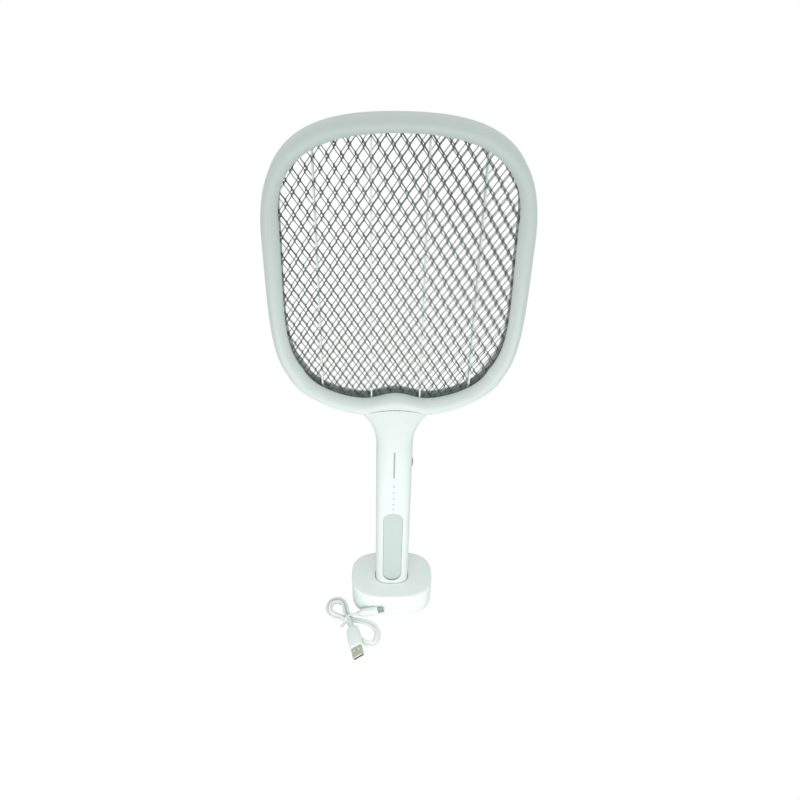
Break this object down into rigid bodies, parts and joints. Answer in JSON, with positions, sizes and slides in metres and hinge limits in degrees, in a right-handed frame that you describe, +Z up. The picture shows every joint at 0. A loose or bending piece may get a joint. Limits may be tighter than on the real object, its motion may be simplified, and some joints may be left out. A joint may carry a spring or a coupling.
{
  "type": "electric fly swatter",
  "caption": "Racket-shaped electric insect swatter with a mesh head and a lamp in its handle, standing in a charging base, with a tied charging lead.",
  "frame": {"origin": "centre of the charging base's foot plane, on the table", "axes": "+Z up the handle, -Y towards the lamp side (front), +X to the right seen from the front"},
  "size_m": [0.2222, 0.1275, 0.538],
  "materials": {
    "white_shell": "satin moulded ABS",
    "dock_inner": "matte",
    "ballast_steel": "plain",
    "circuit_board": "solder mask",
    "plated_steel": "bright",
    "black_plastic": "matte",
    "foot_rubber": "matte",
    "gold_contact": "plated",
    "net_metal": "expanded sheet",
    "insulator_grey": "matte",
    "insulator_white": "matte",
    "lamp_diffuser": "frosted",
    "led_violet": "clear",
    "light_guide": "frosted",
    "ferrite": "core and winding",
    "capacitor_red": "dipped",
    "cell_sleeve": "shrink sleeve",
    "lead_red": "insulated wire",
    "button_white": "satin",
    "switch_grey": "matte",
    "lead_white": "soft PVC"
  },
  "bodies": {
    "dock": {"dock_shell": "white_shell", "dock_bottom": "dock_inner", "dock_ballast": "ballast_steel", "dock_board": "circuit_board", "usb_socket": "plated_steel", "pin_housing": "black_plastic", "pin_springs": "plated_steel", "dock_screws": "plated_steel", "rubber_feet": "foot_rubber", "lead_left_loops": "lead_white", "lead_waist": "lead_white", "lead_right_loops": "lead_white", "lead_usb_end": "lead_white", "lead_micro_end": "lead_white", "lead_tie": "lead_white", "usb_plug_body": "lead_white", "usb_plug_shell": "plated_steel", "micro_plug_body": "lead_white", "micro_plug_shell": "plated_steel"},
    "racket": {"front_frame": "white_shell", "rear_frame": "white_shell", "front_net": "net_metal", "high_voltage_net": "net_metal", "rear_net": "net_metal", "front_spacer_ring": "insulator_grey", "rear_spacer_ring": "insulator_grey", "front_ribs": "insulator_white", "rear_ribs": "insulator_white", "frame_screws": "plated_steel", "handle_front_shell": "white_shell", "handle_rear_shell": "white_shell", "handle_screws": "plated_steel", "lamp_window": "lamp_diffuser", "lamp_board": "circuit_board", "uv_leds": "led_violet", "indicator_line": "light_guide", "battery_lights": "light_guide", "main_board": "circuit_board", "step_up_transformer": "ferrite", "capacitor": "capacitor_red", "diodes": "black_plastic", "battery_cell": "cell_sleeve", "net_leads": "lead_red", "trigger_switch": "black_plastic", "mode_switch": "black_plastic", "charge_pads": "gold_contact", "switch_plate": "switch_grey"},
    "trigger": {"trigger_button": "button_white"},
    "mode_switch_knob": {"mode_slider": "switch_grey"},
    "left_pin": {"contact_pin_left": "gold_contact"},
    "right_pin": {"contact_pin_right": "gold_contact"}
  },
  "joints": [
    {"name": "racket_lift", "type": "slide", "parent": "dock", "child": "racket", "axis": [0, 0, 1], "range_m": [0, 0.08]},
    {"name": "trigger_press", "type": "slide", "parent": "racket", "child": "trigger", "axis": [0, -1, 0], "range_m": [0, 0.0015], "stiffness_N_per_m": 800, "springref_m": -0.0012},
    {"name": "mode_slide", "type": "slide", "parent": "racket", "child": "mode_switch_knob", "axis": [0, 0, 1], "range_m": [0, 0.005]},
    {"name": "left_pin_press", "type": "slide", "parent": "dock", "child": "left_pin", "axis": [0, 0, -1], "range_m": [0, 0.0012], "stiffness_N_per_m": 300, "springref_m": -0.001},
    {"name": "right_pin_press", "type": "slide", "parent": "dock", "child": "right_pin", "axis": [0, 0, -1], "range_m": [0, 0.0012], "stiffness_N_per_m": 300, "springref_m": -0.001}
  ]
}
